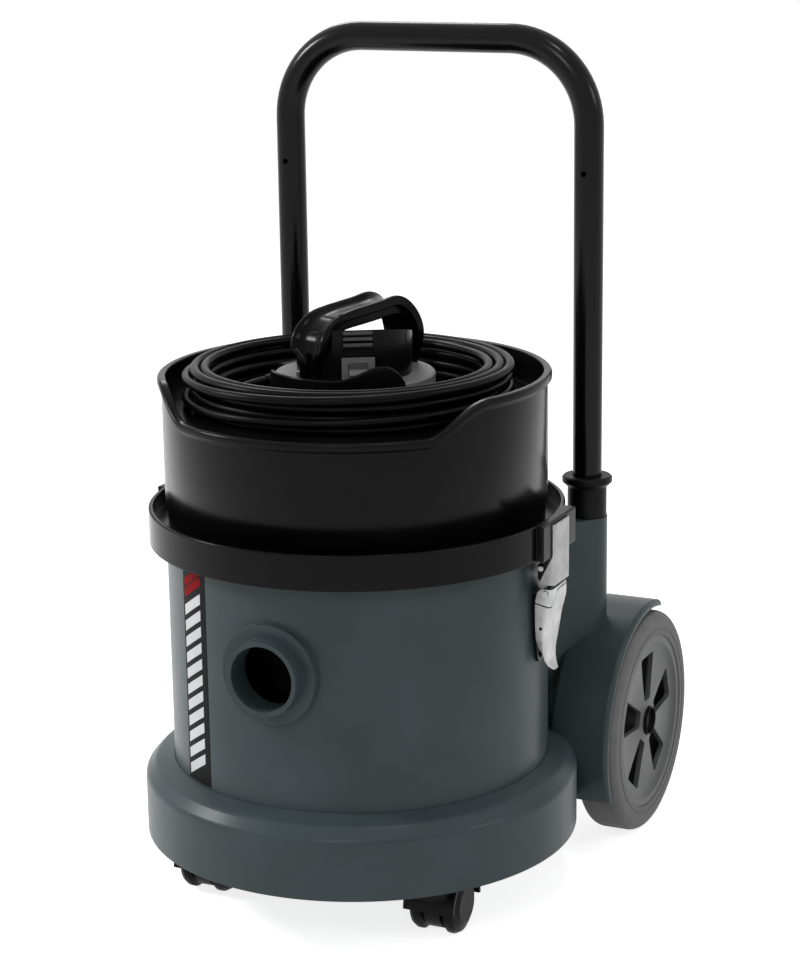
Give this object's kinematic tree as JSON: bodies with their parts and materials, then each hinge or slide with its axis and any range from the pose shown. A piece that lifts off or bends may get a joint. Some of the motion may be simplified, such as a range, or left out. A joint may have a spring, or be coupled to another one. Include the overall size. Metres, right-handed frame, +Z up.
{
  "type": "tub vacuum cleaner",
  "caption": "Round-bodied wet and dry tub vacuum on large rear wheels and front castors, with a clamped motor head, coiled mains cable and tubular push handle.",
  "frame": {"origin": "on the floor, under the vertical axis of the drum", "axes": "+Z up, -Y towards the hose inlet at the front, +X to the right as seen from the front"},
  "size_m": [0.3828, 0.4916, 0.7223],
  "materials": {
    "grey_plastic": "semi-matt injection-moulded polypropylene",
    "black_plastic": "satin to glossy black moulding",
    "light_grey_plastic": "matt light-grey moulding",
    "wheel_plastic": "matt mid-grey moulding",
    "tyre_rubber": "non-marking grey rubber",
    "seal_rubber": "soft sealing rubber",
    "cable_sheath": "rubber-sheathed mains cable",
    "painted_tube": "gloss black powder-coated steel tube",
    "plated_steel": "bright zinc-plated steel",
    "motor_metal": "die-cast and laminated motor parts",
    "filter_cloth": "needled polyester felt"
  },
  "bodies": {
    "tub": {"chassis": "grey_plastic", "drum": "grey_plastic", "inlet_lining": "black_plastic", "push_handle": "painted_tube", "handle_screws": "plated_steel", "rear_axle": "plated_steel", "clamp_pins": "plated_steel", "clamp_rivets": "plated_steel", "left_handle_socket": "black_plastic", "right_handle_socket": "black_plastic", "left_clamp_bracket": "plated_steel", "right_clamp_bracket": "plated_steel", "left_castor_plate": "plated_steel", "right_castor_plate": "plated_steel"},
    "head": {"lid_ring": "black_plastic", "lid_seal": "seal_rubber", "head_shell": "black_plastic", "head_base_plate": "black_plastic", "head_screws": "plated_steel", "turret_base": "light_grey_plastic", "turret_cowl": "black_plastic", "carry_handle": "black_plastic", "carry_handle_screws": "plated_steel", "switch_panel": "light_grey_plastic", "cable_gland": "black_plastic", "mains_cable_coil": "cable_sheath", "mains_cable_lead": "cable_sheath", "mains_cable_tail": "cable_sheath", "mains_plug": "black_plastic", "motor_frame": "motor_metal", "fan_case": "black_plastic", "exhaust_foam": "filter_cloth", "intake_grille": "black_plastic", "main_filter": "filter_cloth", "filter_frame": "black_plastic", "left_clamp_hook": "plated_steel", "right_clamp_hook": "plated_steel"},
    "switch": {"switch_rocker": "black_plastic"},
    "rotor": {"motor_rotor": "motor_metal", "fan_impeller": "motor_metal"},
    "left_wheel": {"left_wheel_disc": "wheel_plastic", "left_tyre": "tyre_rubber", "left_hub_cap": "wheel_plastic"},
    "left_castor_fork": {"left_castor_hood": "black_plastic", "left_castor_axle": "plated_steel"},
    "left_castor_roller": {"left_castor_wheels": "black_plastic"},
    "left_clamp": {"left_clamp_lever": "plated_steel"},
    "right_wheel": {"right_wheel_disc": "wheel_plastic", "right_tyre": "tyre_rubber", "right_hub_cap": "wheel_plastic"},
    "right_castor_fork": {"right_castor_hood": "black_plastic", "right_castor_axle": "plated_steel"},
    "right_castor_roller": {"right_castor_wheels": "black_plastic"},
    "right_clamp": {"right_clamp_lever": "plated_steel"}
  },
  "joints": [
    {"name": "head_lift", "type": "slide", "parent": "tub", "child": "head", "axis": [0, 0, 1], "range_m": [0, 0.235]},
    {"name": "left_wheel_spin", "type": "hinge", "parent": "tub", "child": "left_wheel", "pos_m": [-0.1722, 0.2066, 0.1], "axis": [1, 0, 0], "continuous": true},
    {"name": "left_castor_swivel", "type": "hinge", "parent": "tub", "child": "left_castor_fork", "pos_m": [-0.1082, -0.0893, 0.05], "axis": [0, 0, 1], "continuous": true},
    {"name": "left_castor_roll", "type": "hinge", "parent": "left_castor_fork", "child": "left_castor_roller", "pos_m": [-0.1082, -0.0743, 0.025], "axis": [1, 0, 0], "continuous": true},
    {"name": "left_clamp_open", "type": "hinge", "parent": "tub", "child": "left_clamp", "pos_m": [-0.1725, 0.01, 0.277], "axis": [0, 1, 0], "range_deg": [0, 95]},
    {"name": "right_wheel_spin", "type": "hinge", "parent": "tub", "child": "right_wheel", "pos_m": [0.1722, 0.2066, 0.1], "axis": [1, 0, 0], "continuous": true},
    {"name": "right_castor_swivel", "type": "hinge", "parent": "tub", "child": "right_castor_fork", "pos_m": [0.1082, -0.0893, 0.05], "axis": [0, 0, 1], "continuous": true},
    {"name": "right_castor_roll", "type": "hinge", "parent": "right_castor_fork", "child": "right_castor_roller", "pos_m": [0.1082, -0.0743, 0.025], "axis": [1, 0, 0], "continuous": true},
    {"name": "right_clamp_open", "type": "hinge", "parent": "tub", "child": "right_clamp", "pos_m": [0.1725, 0.01, 0.277], "axis": [0, -1, 0], "range_deg": [0, 95]},
    {"name": "switch_rock", "type": "hinge", "parent": "head", "child": "switch", "pos_m": [0.0211, -0.03655, 0.459], "axis": [0.866, 0.5, 0], "range_deg": [-8, 8]},
    {"name": "motor_spin", "type": "hinge", "parent": "head", "child": "rotor", "pos_m": [0, 0, 0.36], "axis": [0, 0, 1], "continuous": true}
  ]
}
